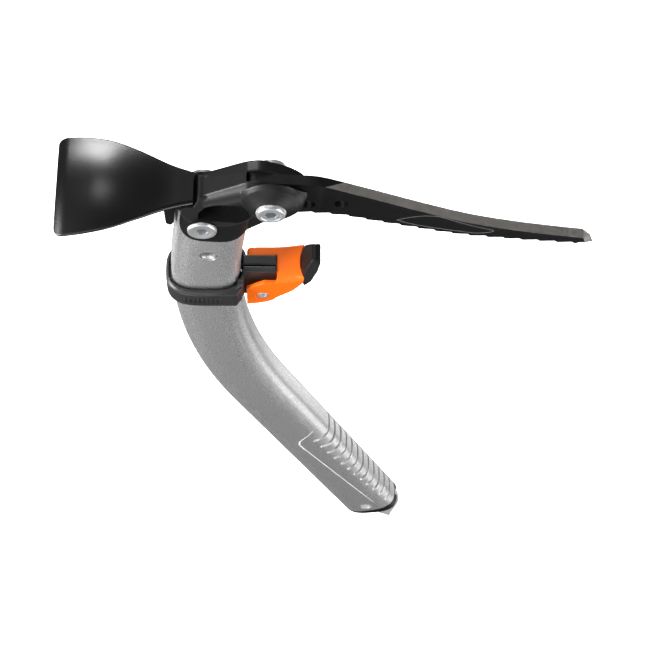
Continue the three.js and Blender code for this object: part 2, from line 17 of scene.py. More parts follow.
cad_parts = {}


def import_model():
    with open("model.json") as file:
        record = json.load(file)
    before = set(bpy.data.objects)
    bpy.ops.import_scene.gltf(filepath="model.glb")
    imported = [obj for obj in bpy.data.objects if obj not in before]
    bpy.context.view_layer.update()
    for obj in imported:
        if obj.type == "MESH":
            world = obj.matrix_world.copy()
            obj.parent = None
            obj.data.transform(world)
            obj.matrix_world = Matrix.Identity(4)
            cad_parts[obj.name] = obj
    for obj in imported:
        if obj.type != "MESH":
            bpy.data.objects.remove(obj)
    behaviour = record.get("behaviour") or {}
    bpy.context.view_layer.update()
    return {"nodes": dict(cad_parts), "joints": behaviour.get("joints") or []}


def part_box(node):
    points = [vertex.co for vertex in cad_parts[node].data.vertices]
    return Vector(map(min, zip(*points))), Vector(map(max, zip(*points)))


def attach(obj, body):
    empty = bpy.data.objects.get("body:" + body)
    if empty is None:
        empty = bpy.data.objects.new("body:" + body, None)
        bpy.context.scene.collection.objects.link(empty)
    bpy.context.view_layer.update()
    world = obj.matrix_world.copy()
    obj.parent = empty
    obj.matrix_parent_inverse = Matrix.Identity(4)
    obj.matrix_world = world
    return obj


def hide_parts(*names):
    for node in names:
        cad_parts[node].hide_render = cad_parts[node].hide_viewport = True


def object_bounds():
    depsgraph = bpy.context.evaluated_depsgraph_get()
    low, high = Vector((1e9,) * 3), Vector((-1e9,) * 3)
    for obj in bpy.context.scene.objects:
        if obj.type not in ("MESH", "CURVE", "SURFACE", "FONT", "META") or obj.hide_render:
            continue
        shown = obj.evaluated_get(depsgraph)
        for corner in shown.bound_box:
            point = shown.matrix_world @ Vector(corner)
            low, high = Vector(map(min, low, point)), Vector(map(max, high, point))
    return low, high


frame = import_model()

# ------------------------------------------------------------------ driving dimensions (mm)

MM = 0.001
DEG = math.pi / 180
JOINTS = {joint["name"]: joint for joint in frame["joints"]}

bend_x, _, bend_z = JOINTS["hand_rest_slide"]["pos_m"]
BEND_RADIUS = bend_x / MM
BEND_START = bend_z / MM
BEND = 27.8 * DEG
TOP_STRAIGHT = 34                  # straight length above the bend
COLLAR_ANGLE = 21.7 * DEG          # how far round the bend the hand rest sits

SHAFT_A = 16.5                     # half depth
SHAFT_B = 11                       # half width
SECTION_POWER = 3                  # 2 would be a plain oval, and more is squarer
WALL = 1.6
SHAFT_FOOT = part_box("shaft")[0][2] / MM

GROOVES = 12
GROOVE_TOP = 152                   # height of the highest groove
GROOVE_PITCH = 9.6
GROOVE_DEPTH = 1.0
GROOVE_FLOOR = 0.45                # half width of a groove's floor
GROOVE_SIDE = 0.85                 # width of each sloping side of a groove
GROOVE_FADE = 2.2                  # length over which a groove runs out at its end
GROOVE_END = 6.5                   # how far forward the highest groove ends
GROOVE_TAPER = 0.06                # how much further forward, for each mm further down

SHAFT_BOLT = (-4.5, -4.4)          # (x, z) in HEAD, as the next two
PICK_BOLT = (24.5, 14)
UPPER_PIN = (0.2, -33.4)
UPPER_PIN_R = 4.0
SPIKE_PIN = (0, 44.2)              # (x, z) in ROW
SPIKE_PIN_R = 3.3
LEASH_EYE = (1.5, 24)              # (x, z) in ROW
PIVOT = (27.1, -6.4)               # (x, z) in REST

CHEEK_OUT = 9                      # OUT is a half width, measured to the outside
TONGUE_OUT = 13
TONGUE_FOOT = -15.5
TONGUE_BACK = -14.8
EDGE_HIGHLIGHT_HALF = 0.2                    # half the width of the painted highlight along the top's near edge
BOSS_OUT = 12.4                    # over the boss under the pick bolt's head
PICK_HALF = 2.5
LUG_OUT = 5
LUG_BACK = 17.4
LUG_TOP = 11.3
LUG_END = 33.8
COVER_OUT = 9.3
COVER_IN = 7.2
COVER_BACK = 33.9                  # where the hollow of the lever cover ends
BEAK_SEAM_X = 44.4                 # the seam of cover and beak is part of a ball
BEAK_SEAM_R = 21.2
BEAK_SEAM_Z = 8

THROUGH = 20                       # past the sides of every body that is cut
ON_AXIS = 0.002                    # radius that stands for a point on the axis


def on_line(angle, on):
    """Place on the shaft's centre line: round the bend by angle, then on along its tangent."""
    x = BEND_RADIUS * (1 - math.cos(angle)) + on * math.sin(angle)
    z = BEND_START + BEND_RADIUS * math.sin(angle) + on * math.cos(angle)
    return x, z


def local_frame(angle, on=0):
    """Matrix from local millimetres to the model's metres."""
    x, z = on_line(angle, on)
    return Matrix.Scale(MM, 4) @ Matrix.Translation((x, 0, z)) @ Matrix.Rotation(angle, 4, "Y")


ROW = Matrix.Scale(MM, 4)
HEAD = local_frame(BEND, TOP_STRAIGHT)
REST = local_frame(COLLAR_ANGLE)

# ------------------------------------------------------------------ curves and solids


def mix(a, b, t):
    """The value t of the way from a to b."""
    return a + (b - a) * t


def smooth(t):
    """An eased step from 0 to 1 as t goes from 0 to 1."""
    t = min(1, max(0, t))
    return t * t * (3 - 2 * t)


def arc(centre, radius, start, end, steps=12):
    """Points of a circular arc, angles in degrees."""
    cx, cy = centre
    turns = [mix(start, end, i / steps) * DEG for i in range(steps + 1)]
    return [(cx + radius * math.cos(a), cy + radius * math.sin(a)) for a in turns]


def quad(a, control, b, steps=10):
    """Points of a quadratic curve, without its first point."""
    points = []
    for i in range(1, steps + 1):
        t = i / steps
        points.append(tuple(
            (1 - t) ** 2 * p + 2 * t * (1 - t) * q + t * t * r for p, q, r in zip(a, control, b)))
    return points


def spline(knots, steps):
    """A smooth curve through points of any dimension."""
    points = []
    padded = [knots[0], *knots, knots[-1]]
    for a, b, c, d in zip(padded, padded[1:], padded[2:], padded[3:]):
        for i in range(steps):
            t = i / steps
            points.append(tuple(
                0.5 * (2 * q + (r - p) * t + (2 * p - 5 * q + 4 * r - s) * t * t
                       + (3 * q - p - 3 * r + s) * t ** 3)
                for p, q, r, s in zip(a, b, c, d)))
    return points + [tuple(knots[-1])]


def value_at(knots, x):
    """Value at x on the line through knots, whose x only rises or only falls."""
    for (x0, v0), (x1, v1) in zip(knots, knots[1:]):
        if (x - x1) * (x0 - x1) >= 0:
            return mix(v0, v1, (x - x0) / (x1 - x0))
    return knots[-1][1]


def direction(a, b):
    """Unit direction from a to b in the plane of the axe."""
    return Vector((b[0] - a[0], b[1] - a[1])).normalized()


def oval(a, b, sides=160):
    """The shaft's squarish oval with half depth a and half width b."""
    points = []
    for i in range(sides):
        c, s = math.cos(2 * math.pi * i / sides), math.sin(2 * math.pi * i / sides)
        points.append((a * math.copysign(abs(c) ** (2 / SECTION_POWER), c),
                       b * math.copysign(abs(s) ** (2 / SECTION_POWER), s)))
    return points


def oval_half_width(x, a, b):
    """Half width of that oval at the place x of its depth."""
    return b * (1 - (abs(x) / a) ** SECTION_POWER) ** (1 / SECTION_POWER)


def solid(points, faces):
    """A closed mesh object with its faces turned outward."""
    mesh = bpy.data.meshes.new("solid")
    mesh.from_pydata(points, [], faces)
    work = bmesh.new()
    work.from_mesh(mesh)
    bmesh.ops.recalc_face_normals(work, faces=work.faces)
    work.to_mesh(mesh)
    work.free()
    obj = bpy.data.objects.new("solid", mesh)
    bpy.context.scene.collection.objects.link(obj)
    return obj


def skin(rings, closed=False):
    """Rings of equal length joined into a body: capped at both ends, or closed on itself."""
    n = len(rings[0])
    count = len(rings)
    points = [point for ring in rings for point in ring]
    faces = []
    for i in range(count if closed else count - 1):
        here, there = i * n, (i + 1) % count * n
        faces += [(here + j, here + (j + 1) % n, there + (j + 1) % n, there + j) for j in range(n)]
    if not closed:
        faces += [tuple(range(n)), tuple(range((count - 1) * n, count * n))]
    return solid(points, faces)


PLANES = {
    "xz": lambda u, v, w: (u, w, v),
    "xy": lambda u, v, w: (u, v, w),
    "yz": lambda u, v, w: (w, u, v),
}


def prism(outline, low, high, plane="xz"):
    """An outline drawn in one plane, given depth from low to high across it."""
    put = PLANES[plane]
    return skin([[put(u, v, low) for u, v in outline], [put(u, v, high) for u, v in outline]])


def box(x0, x1, y0, y1, z0, z1):
    """A block between two opposite corners."""
    return prism([(x0, z0), (x1, z0), (x1, z1), (x0, z1)], y0, y1)


def turned(at, profile, sides):
    """A body turned about an axis across the axe, from (radius, y) points; capped at both ends."""
    x, z = at
    turn = [2 * math.pi * i / sides for i in range(sides)]
    rings = []
    for radius, y in profile:
        radius = max(radius, ON_AXIS)
        rings.append([(x + radius * math.cos(a), y, z + radius * math.sin(a)) for a in turn])
    return skin(rings)


def rod(at, radius, y0, y1, sides=64):
    """A round bar across the axe."""
    return turned(at, [(radius, y0), (radius, y1)], sides)


def applied(obj):
    """The object with its modifiers made part of its mesh."""
    shown = obj.evaluated_get(bpy.context.evaluated_depsgraph_get())
    mesh = bpy.data.meshes.new_from_object(shown)
    obj.modifiers.clear()
    obj.data = mesh
    return obj


def combined(obj, others, operation):
    """The object after a boolean with each of the others, which are used up."""
    for other in others:
        modifier = obj.modifiers.new("combine", "BOOLEAN")
        modifier.operation = operation
        modifier.solver = "EXACT"
        modifier.object = other
        applied(obj)
        bpy.data.objects.remove(other)
    return obj


def cut(obj, *others):
    """The object less the others."""
    return combined(obj, others, "DIFFERENCE")


def join(obj, *others):
    """The object and the others as one body."""
    return combined(obj, others, "UNION")


def common(obj, *others):
    """What the object shares with the others."""
    return combined(obj, others, "INTERSECT")


def soften(obj, grain, rounds):
    """Rounds every edge a little, as forging, moulding and paint do; grain is the mesh size."""
    remesh = obj.modifiers.new("remesh", "REMESH")
    remesh.mode = "VOXEL"
    remesh.voxel_size = grain
    applied(obj)
    relax = obj.modifiers.new("relax", "SMOOTH")
    relax.factor = 0.5
    relax.iterations = rounds
    return applied(obj)


def bevel(obj, width, segments, angle=30):
    """Rounds the edges that turn by more than angle, in degrees."""
    modifier = obj.modifiers.new("bevel", "BEVEL")
    modifier.width = width
    modifier.segments = segments
    modifier.limit_method = "ANGLE"
    modifier.angle_limit = angle * DEG
    return applied(obj)


def piece(obj, name, material, place, body, *nodes, crease=35):
    """Puts a finished body in its place, with its name, finish and CAD nodes."""
    obj.name = name
    obj.data.name = name
    obj.data.transform(place)
    for polygon in obj.data.polygons:
        polygon.use_smooth = True
    if crease:
        obj.data.set_sharp_from_angle(angle=crease * DEG)
    obj.data.materials.clear()
    obj.data.materials.append(material[0])
    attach(obj, body)
    if nodes:
        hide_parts(*nodes)
    return obj


# ------------------------------------------------------------------ finishes

NOISE_LOW = 0.35                   # nearly all values of a noise lie between these two
NOISE_HIGH = 0.65
FINE_RELIEF = 0.00002              # metres
COATING_GRAIN = 1300               # features per metre, as the next one
MOULD_GRAIN = 2200


def finish(name, slot, color, roughness, metallic=0.0):
    """A Principled material; gives the finish, which is (material, slot name), and its shader."""
    material = bpy.data.materials.new(name)
    material.use_nodes = True
    shader = material.node_tree.nodes["Principled BSDF"]
    shader.inputs["Base Color"].default_value = (*color, 1)
    shader.inputs["Roughness"].default_value = roughness
    shader.inputs["Metallic"].default_value = metallic
    return (material, slot), shader


def shader_of(result):
    """The Principled shader of a finish."""
    return result[0].node_tree.nodes["Principled BSDF"]


def noise(tree, scale, detail=2.0, stretch=(1, 1, 1)):
    """Noise in the model's own metres; scale is in features per metre."""
    where = tree.nodes.new("ShaderNodeTexCoord")
    mapping = tree.nodes.new("ShaderNodeMapping")
    mapping.inputs["Scale"].default_value = stretch
    texture = tree.nodes.new("ShaderNodeTexNoise")
    texture.inputs["Scale"].default_value = scale
    texture.inputs["Detail"].default_value = detail
    tree.links.new(where.outputs["Object"], mapping.inputs["Vector"])
    tree.links.new(mapping.outputs["Vector"], texture.inputs["Vector"])
    return texture.outputs["Fac"]


def spread(tree, fac, low, high):
    """Maps a noise value to a number from low to high."""
    node = tree.nodes.new("ShaderNodeMapRange")
    node.inputs["From Min"].default_value = NOISE_LOW
    node.inputs["From Max"].default_value = NOISE_HIGH
    node.inputs["To Min"].default_value = low
    node.inputs["To Max"].default_value = high
    tree.links.new(fac, node.inputs["Value"])
    return node.outputs["Result"]


def tones(tree, fac, *stops):
    """Maps a noise value to colours, from (place, colour) stops."""
    node = tree.nodes.new("ShaderNodeValToRGB")
    ramp = node.color_ramp
    while len(ramp.elements) < len(stops):
        ramp.elements.new(0.5)
    for element, (place, color) in zip(ramp.elements, stops):
        element.position = place
        element.color = (*color, 1)
    tree.links.new(fac, node.inputs["Fac"])
    return node.outputs["Color"]


def bump(tree, shader, fac, depth, strength):
    """Fine relief; depth in metres."""
    node = tree.nodes.new("ShaderNodeBump")
    node.inputs["Strength"].default_value = strength
    node.inputs["Distance"].default_value = depth
    tree.links.new(fac, node.inputs["Height"])
    tree.links.new(node.outputs["Normal"], shader.inputs["Normal"])


def grey(value):
    """A grey with a trace of blue."""
    return (value, value, value * 1.01)


def blasted_aluminium():
    """Bead blasted and clear anodised: satin, with a fine sparkle."""
    result, shader = finish("blasted_aluminium", "anodised_aluminium", grey(0.5), 0.42, 0.85)
    tree = result[0].node_tree
    speck = noise(tree, 2100, detail=3.0)
    color = tones(tree, speck, (0.36, grey(0.45)), (0.5, grey(0.66)), (0.64, grey(0.92)))
    tree.links.new(color, shader.inputs["Base Color"])
    tree.links.new(spread(tree, noise(tree, 1100), 0.36, 0.5), shader.inputs["Roughness"])
    bump(tree, shader, speck, FINE_RELIEF, 0.5)
    return result


def grained(name, slot, color, roughness, grain):
    """A finish with an even grain in its gloss and in its relief."""
    result, shader = finish(name, slot, color, roughness)
    tree = result[0].node_tree
    fine = noise(tree, grain)
    low, high = roughness - 0.05, roughness + 0.05
    tree.links.new(spread(tree, fine, low, high), shader.inputs["Roughness"])
    bump(tree, shader, fine, FINE_RELIEF, 0.5)
    return result


def satin_black(name, slot, value, roughness):
    """Black coating over steel."""
    result = grained(name, slot, grey(value), roughness, COATING_GRAIN)
    shader_of(result).inputs["Specular IOR Level"].default_value = 0.37
    return result


def ground_black():
    """The adze's coating over steel that was ground across, from side to side."""
    result, shader = finish("ground_black", "blade_steel", grey(0.004), 0.27)
    shader.inputs["IOR"].default_value = 1.75
    tree = result[0].node_tree
    lines = noise(tree, 900, stretch=(1, 0.03, 1))
    grain = noise(tree, 3000)
    both = tree.nodes.new("ShaderNodeMath")
    both.operation = "ADD"
    tree.links.new(lines, both.inputs[0])
    tree.links.new(grain, both.inputs[1])
    bump(tree, shader, both.outputs["Value"], 0.000016, 0.5)
    return result


def bright_zinc():
    """Zinc plated steel of the bolts, nuts and washers."""
    result, shader = finish("bright_zinc", "zinc_steel", (0.8, 0.81, 0.82), 0.3, 0.7)
    tree = result[0].node_tree
    tree.links.new(spread(tree, noise(tree, 700), 0.29, 0.34), shader.inputs["Roughness"])
    return result


def satin_steel(name, color, roughness):
    """Bare steel with fine brush marks along the handle's direction."""
    result, shader = finish(name, "steel", color, roughness, 1.0)
    tree = result[0].node_tree
    brushed = noise(tree, 900, stretch=(1, 1, 0.15))
    low, high = roughness - 0.07, roughness + 0.07
    tree.links.new(spread(tree, brushed, low, high), shader.inputs["Roughness"])
    bump(tree, shader, brushed, 0.00001, 0.4)
    return result


def moulded(name, slot, color, roughness):
    """Moulded plastic or rubber."""
    return grained(name, slot, color, roughness, MOULD_GRAIN)


def soft_rubber():
    """Black rubber, which shines less than the plastics."""
    result = moulded("black_rubber", "black_rubber", grey(0.008), 0.44)
    shader_of(result).inputs["Specular IOR Level"].default_value = 0.3
    return result


def orange_with_painted_glow():
    """Signal orange plastic with a faint orange glow: painted light that makes it brighter than its
    lamps light it.
    """
    result = moulded("orange_plastic", "orange_plastic", (0.96, 0.155, 0.004), 0.42)
    shader = shader_of(result)
    shader.inputs["Specular IOR Level"].default_value = 0.3
    # painted light: the plastic glows orange, though it is no lamp
    shader.inputs["Emission Color"].default_value = (1.0, 0.16, 0.002, 1)
    shader.inputs["Emission Strength"].default_value = 0.16
    return result


def plain(name, slot, color, roughness, metallic=0.0):
    """A finish that is the same all over."""
    return finish(name, slot, color, roughness, metallic)[0]


ALUMINIUM = blasted_aluminium()
FORGED = satin_black("forged_black", "forged_head", 0.009, 0.4)
BLADE = satin_black("blade_black", "blade_steel", 0.005, 0.4)
ADZE_BLACK = ground_black()
# a lighter grey on the head's near top edge: a painted highlight
EDGE_HIGHLIGHT_PAINT = plain("painted_edge_highlight", "forged_head", grey(0.07), 0.45, 0.3)
BARE_TIP = satin_steel("ground_tip", (0.2, 0.2, 0.195), 0.45)
BARE_SPINE = satin_steel("ground_spine", (0.46, 0.44, 0.41), 0.5)
ETCHED = plain("etched_line", "blade_steel", grey(0.3), 0.5)
ZINC = bright_zinc()
# a darker zinc for the floor of the bolts' sockets: painted shade in the recess
SOCKET_PAINTED_SHADE = plain("socket_floor_painted_shade", "zinc_steel", (0.28, 0.31, 0.34), 0.4, 0.8)
PIN_STEEL = plain("pin_steel", "steel", (0.62, 0.6, 0.59), 0.34, 0.95)
PALE_PIN = plain("pale_pin", "steel", (0.86, 0.81, 0.79), 0.4, 0.4)
PLATE_STEEL = plain("plate_steel", "steel", (0.84, 0.83, 0.82), 0.42, 0.5)
BLACK = moulded("black_plastic", "black_plastic", grey(0.03), 0.36)
PLUG_BLACK = moulded("plug_black", "black_plastic", grey(0.005), 0.4)
RUBBER = soft_rubber()
ORANGE = orange_with_painted_glow()
PRINT = plain("printed_line", "anodised_aluminium", grey(0.85), 0.6)

# ------------------------------------------------------------------ shaft

SECTION = oval(SHAFT_A, SHAFT_B, 144)
FINE_STEP = 0.28                   # height between two rings of the grooved grip


def section_normal(u, y):
    """Outward direction of the shaft's surface at (u, y) in its section."""
    nx = math.copysign((abs(u) / SHAFT_A) ** (SECTION_POWER - 1) / SHAFT_A, u)
    ny = math.copysign((abs(y) / SHAFT_B) ** (SECTION_POWER - 1) / SHAFT_B, y)
    size = math.hypot(nx, ny)
    return nx / size, ny / size


def groove_depth(u, z):
    """How deep the front grip grooves are, at depth place u and height z."""
    end = GROOVE_END + (GROOVE_TOP - z) * GROOVE_TAPER
    nearest = min(GROOVES - 1, max(0, round((GROOVE_TOP - z) / GROOVE_PITCH)))
    off = abs(z - GROOVE_TOP + nearest * GROOVE_PITCH)
    across = 1 - smooth((off - GROOVE_FLOOR) / GROOVE_SIDE)
    return GROOVE_DEPTH * smooth((u - end) / GROOVE_FADE) * across


def shaft_ring(angle, on, inset=0.0):
    """The shaft's section round the bend by angle and then on, drawn in by inset."""
    x, z = on_line(angle, on)
    ring = []
    for u, y in SECTION:
        nu, ny = section_normal(u, y)
        depth = inset + (groove_depth(u, z) if angle == 0 else 0)
        v = u - nu * depth
        ring.append((x + v * math.cos(angle), y - ny * depth, z - v * math.sin(angle)))
    return ring


def shaft():
    """The tube: its outside from the foot up, then its inside back down, then the pin holes."""
    foot = SHAFT_FOOT - BEND_START
    grip_top = GROOVE_TOP + 8 - BEND_START
    fine = round((grip_top - foot) / FINE_STEP)
    outer = [shaft_ring(0, foot, 0.35), shaft_ring(0, foot + 0.12, 0.1)]
    outer += [shaft_ring(0, mix(foot + 0.35, grip_top, i / fine)) for i in range(fine)]
    outer += [shaft_ring(0, mix(grip_top, 0, i / 10)) for i in range(10)]
    outer += [shaft_ring(BEND * i / 70, 0) for i in range(70)]
    outer += [shaft_ring(BEND, TOP_STRAIGHT * i / 10) for i in range(11)]
    inner = [shaft_ring(BEND, TOP_STRAIGHT, WALL)]
    inner += [shaft_ring(BEND * i / 20, 0, WALL) for i in range(20, 0, -1)]
    inner += [shaft_ring(0, 0, WALL + 0.001), shaft_ring(0, foot, WALL)]
    body = skin(outer + inner, closed=True)
    upper = rod(UPPER_PIN, UPPER_PIN_R + 0.15, -THROUGH, THROUGH)
    upper.data.transform(ROW.inverted() @ HEAD)
    cut(body, upper, rod(SPIKE_PIN, SPIKE_PIN_R + 0.3, -THROUGH, THROUGH))
    return piece(body, "shaft_tube", ALUMINIUM, ROW, "axe", "shaft")


def border_path():
    """The printed line's course down the side of the handle, as (x, z)."""
    path = [(15.6, 168.2), (9, 162), (2.5, 157)]
    path += quad((2.5, 157), (-1.6, 153.6), (-1.9, 149.6), 6)
    path += quad((-1.9, 149.6), (-2.2, 144), (-1.2, 138.5), 6)
    path += [(7, 49)]
    return spline(path, 4)


def printed_border(side):
    """The thin printed line round the grooved grip, one on each side of the handle."""
    path = border_path()
    last = len(path) - 1
    rings = []
    for i, (x, z) in enumerate(path):
        t = i / last
        wide = smooth(t / 0.35) * (1 - 0.55 * smooth((t - 0.6) / 0.3))
        width = 0.16 + 0.34 * wide
        run = direction(path[max(i - 1, 0)], path[min(i + 1, last)])
        ring = []
        for across, lift in ((1, -0.1), (1, 0.03), (-1, 0.03), (-1, -0.1)):
            px, pz = x + run.y * across * width, z - run.x * across * width
            y = oval_half_width(px, SHAFT_A, SHAFT_B)
            nx, ny = section_normal(px, y)
            ring.append((px + nx * lift, side * (y + ny * lift), pz))
        rings.append(ring)
    name = "printed_border_" + ("near" if side < 0 else "far")
    return piece(skin(rings), name, PRINT, ROW, "axe", crease=0)


def dished_pin(name, at, material, place, node, r, dish):
    """A pin through the handle, its two ends dished like shallow bowls."""
    end = SHAFT_B - 0.45
    rim = r - 0.5
    steps = 8                      # from the bowl's middle to its rim
    half = [(rim * i / steps, end - dish * (1 - (i / steps) ** 2)) for i in range(steps + 1)]
    half += [(r - 0.25, end), (r, end - 0.3)]
    profile = [(radius, -y) for radius, y in half] + [(radius, y) for radius, y in reversed(half)]
    return piece(turned(at, profile, 48), name, material, place, "axe", node)


# ------------------------------------------------------------------ head body

BLANK_FOOT = -20                   # the spine's blank runs down to here
NOTCH_X = -6                       # the sloping top starts near here, behind the adze
TOP_AT_NOTCH = 11.2
TOP_SLOPE = math.tan(31.5 * DEG)
TOP_RUN = 18                       # length of the sloping top along x


def top_at(x):
    """Height of the sloping top."""
    return TOP_AT_NOTCH + (x - NOTCH_X) * TOP_SLOPE


def top_flat(x):
    """Half width of the flat top."""
    return mix(4.4, 3, (x - NOTCH_X) / TOP_RUN)


def spine_blank():
    """Spine and cheeks, by sections: x, half width of the flat top, top z, half width, shoulder."""
    straight = [(x, top_flat(x), top_at(x), CHEEK_OUT, 2.7)
                for x in (-7.6, -2, 3, 7, 11.6)]
    cheeks = spline([
        (13, 3.0, 22.8, CHEEK_OUT, 2.8), (17.6, 3.3, 23.9, CHEEK_OUT + 0.1, 2.3),
        (22, 3.6, 23.3, CHEEK_OUT + 0.2, 2.1), (28, 3.6, 21.6, CHEEK_OUT, 2),
        (32.6, 3.6, 20.2, 8.3, 1.8), (36.2, 3.4, 18.8, 7.4, 1.6),
        (38.8, 3.2, 17.7, 6, 1.2), (40.4, 2.8, 16.9, 4, 0.6)], 3)
    rings = []
    for x, flat, top, out, drop in straight + cheeks:
        edge = (flat + 0.6, top - 0.35)
        near = [(flat, top), edge]
        near += quad(edge, (out, top - drop * 0.7), (out, top - drop * 3.4), 14)
        near.append((out, BLANK_FOOT))
        far_drop = drop * mix(0.8, 0.45, smooth((x + 2) / 14))
        crown = (out - 1.6, top - far_drop * 0.6)
        far = [(flat, top), crown]
        far += quad(crown, (out, top - far_drop), (out, top - far_drop * 2), 8)
        far.append((out, BLANK_FOOT))
        section = far + [(-y, z) for y, z in reversed(near)]
        rings.append([(x, y, z) for y, z in section])
    return skin(rings)


def head_outline():
    """Side outline of the head body forward of the notch behind the adze."""
    points = [(TONGUE_BACK, 6), (-12.3, 7.2), (-9.2, 7.2), (-7.6, 10.6), (-7.6, 30), (42, 30),
              (40.4, 16)]
    points += quad((40.4, 16), (39.2, 10.5), (35.6, 7.9))
    points += quad((35.6, 7.9), (29, 4.6), (22.9, -1.2))
    points += [(13.7, -11.7)]
    points += quad((13.7, -11.7), (11, TONGUE_FOOT), (4, TONGUE_FOOT))
    points += [(-5, TONGUE_FOOT)]
    points += quad((-5, TONGUE_FOOT), (-13.6, TONGUE_FOOT), (TONGUE_BACK, -5))
    return points


def eye_outline():
    """Side outline of the eye through the head, flat below and arched above."""
    points = [(-7, 1.5), (-7, 4.6)]
    points += quad((-7, 4.6), (-2, 10.4), (6, 11))
    points += [(12.4, 11.5)]
    points += quad((12.4, 11.5), (14.4, 11.4), (15, 8.5))
    return points + [(17, 1.5)]


def heel_outline():
    """Side outline of the lug behind the shaft, under the adze's neck."""
    points = [(-12, 2), (-16.9, 0.5), (-16.9, -11)]
    points += quad((-16.9, -11), (-17.6, -16), (-20.6, -12.6), 6)
    points += [(-23, 4.5)]
    points += quad((-23, 4.5), (-23, 7.2), (-20, 7.2), 6)
    return points + [(-12, 7.2)]


def on_painted_edge_highlight(spot):
    """The thin chamfer along the near edge of the sloping top, where a highlight is painted."""
    edge = -top_flat(spot.x) - 0.3
    level = abs(spot.z - top_at(spot.x) + 0.2) < 0.45
    on_slope = NOTCH_X - 1 < spot.x < NOTCH_X + TOP_RUN
    return on_slope and level and abs(spot.y - edge) < EDGE_HIGHLIGHT_HALF


def tongues():
    """The flat tongues that clasp the shaft, drawn in above to meet the cheeks."""
    inner = CHEEK_OUT - 3.4
    lean = [(-TONGUE_OUT, -20), (TONGUE_OUT, -20), (TONGUE_OUT, -0.5), (CHEEK_OUT, 6.6),
            (inner, 11.9), (-inner, 11.9), (-CHEEK_OUT, 6.6), (-TONGUE_OUT, -0.5)]
    blank = prism(oval(SHAFT_A + 2, SHAFT_B + 2), -20, 12, "xy")
    return common(blank, prism(lean, -16, 18, "yz"))


def pick_boss():
    """The gentle swelling of the near cheek under the pick bolt's head."""
    return turned(PICK_BOLT, [
        (15, -6.6), (13.4, -8.7), (11, -10.4), (9, -11.6), (7.3, -BOSS_OUT), (0.01, -BOSS_OUT)], 96)


def head_body():
    """The forged head: tongues, spine, cheeks and heel, less the eye, shaft, pick and nut seat."""
    body = join(tongues(), spine_blank(), pick_boss())
    body = common(body, prism(head_outline(), -THROUGH, THROUGH))
    body = join(body, prism(heel_outline(), -6.4, 6.4))
    slot_half = PICK_HALF + 0.1
    cut(body,
        prism(eye_outline(), -THROUGH, THROUGH),
        prism(oval(SHAFT_A + 0.25, SHAFT_B + 0.25), -30, 0.25, "xy"),
        box(12.8, 45, -slot_half, slot_half, -20, 40),
        rod(PICK_BOLT, 8.2, CHEEK_OUT - 0.3, THROUGH))
    soften(body, 0.3, 3)
    # the near top edge's faces get a lighter finish: a painted highlight
    highlight_faces = [on_painted_edge_highlight(polygon.center) for polygon in body.data.polygons]
    result = piece(body, "forged_head", FORGED, HEAD, "axe", "head_body", crease=0)
    body.data.materials.append(EDGE_HIGHLIGHT_PAINT[0])
    for polygon, highlighted in zip(body.data.polygons, highlight_faces):
        polygon.material_index = 1 if highlighted else 0
    return result


# ------------------------------------------------------------------ adze

ADZE_NECK = -9.8
ADZE_END = -70
ADZE_CORNER = 4                    # radius of the blade's two corners
ADZE_EDGE_Z = 9.3
ADZE_ARCH = 4.2                    # rise of the blade's middle over its sides
ADZE_ARCH_START = 8                # the START values are distances from the neck
ADZE_ARCH_RUN = 38
ADZE_DROOP = 0.0037                # how fast the blade curves down towards its end
ADZE_DROOP_START = 16.2
ADZE_THICK = (3, 2.2)              # at the neck and at its end
ADZE_THINNING = 60                 # distance over which it thins
ADZE_SIDE = [(-9.8, 8.1), (-20, 11.2), (-34, 17.4), (-46, 22.1), (-58, 24.5), (-70, 25.2)]


def adze_section(x, side):
    """The blade's section at x, where its side line lies side away from the middle."""
    out = ADZE_NECK - x
    corner = max(0.0, ADZE_CORNER - (x - ADZE_END))
    half = side - ADZE_CORNER + math.sqrt(max(0.0, ADZE_CORNER ** 2 - corner ** 2))
    droop = ADZE_DROOP * max(0.0, out - ADZE_DROOP_START) ** 2
    arch = ADZE_ARCH * smooth((out - ADZE_ARCH_START) / ADZE_ARCH_RUN)
    full = mix(*ADZE_THICK, out / ADZE_THINNING)
    sharpened = mix(0.2, 1, smooth((x - ADZE_END + 0.5) / 5))
    thick = full * sharpened
    r = thick / 2

    def level(y):
        """Height of the middle of the blade's thickness."""
        return ADZE_EDGE_Z - droop + arch * (1 - (y / side) ** 2) + (full - thick) / 8

    flat = half - r
    ys = [flat * (j / 24 - 1) for j in range(1, 48)]
    top = [(y, level(y) + r) for y in ys]
    edge = [(flat + r * math.cos(a * DEG), level(flat) + r * math.sin(a * DEG))
            for a in range(90, -91, -20)]
    under = [(y, level(y) - r) for y in reversed(ys)]
    mirror = [(-y, z) for y, z in reversed(edge)]
    return [(x, y, z) for y, z in top + edge + under + mirror]


def adze():
    """The dished blade, section by section from its neck to its rounded corners."""
    side_line = spline(ADZE_SIDE, 12)
    main = ADZE_END + ADZE_CORNER
    stations = [mix(ADZE_NECK, main, i / 70) for i in range(71)]
    stations += [mix(main, ADZE_END, math.sin(i / 16 * math.pi / 2)) for i in range(1, 17)]
    rings = [adze_section(x, value_at(side_line, x)) for x in stations]
    return piece(skin(rings), "adze_blade", ADZE_BLACK, HEAD, "axe", "adze", crease=50)


# ------------------------------------------------------------------ pick

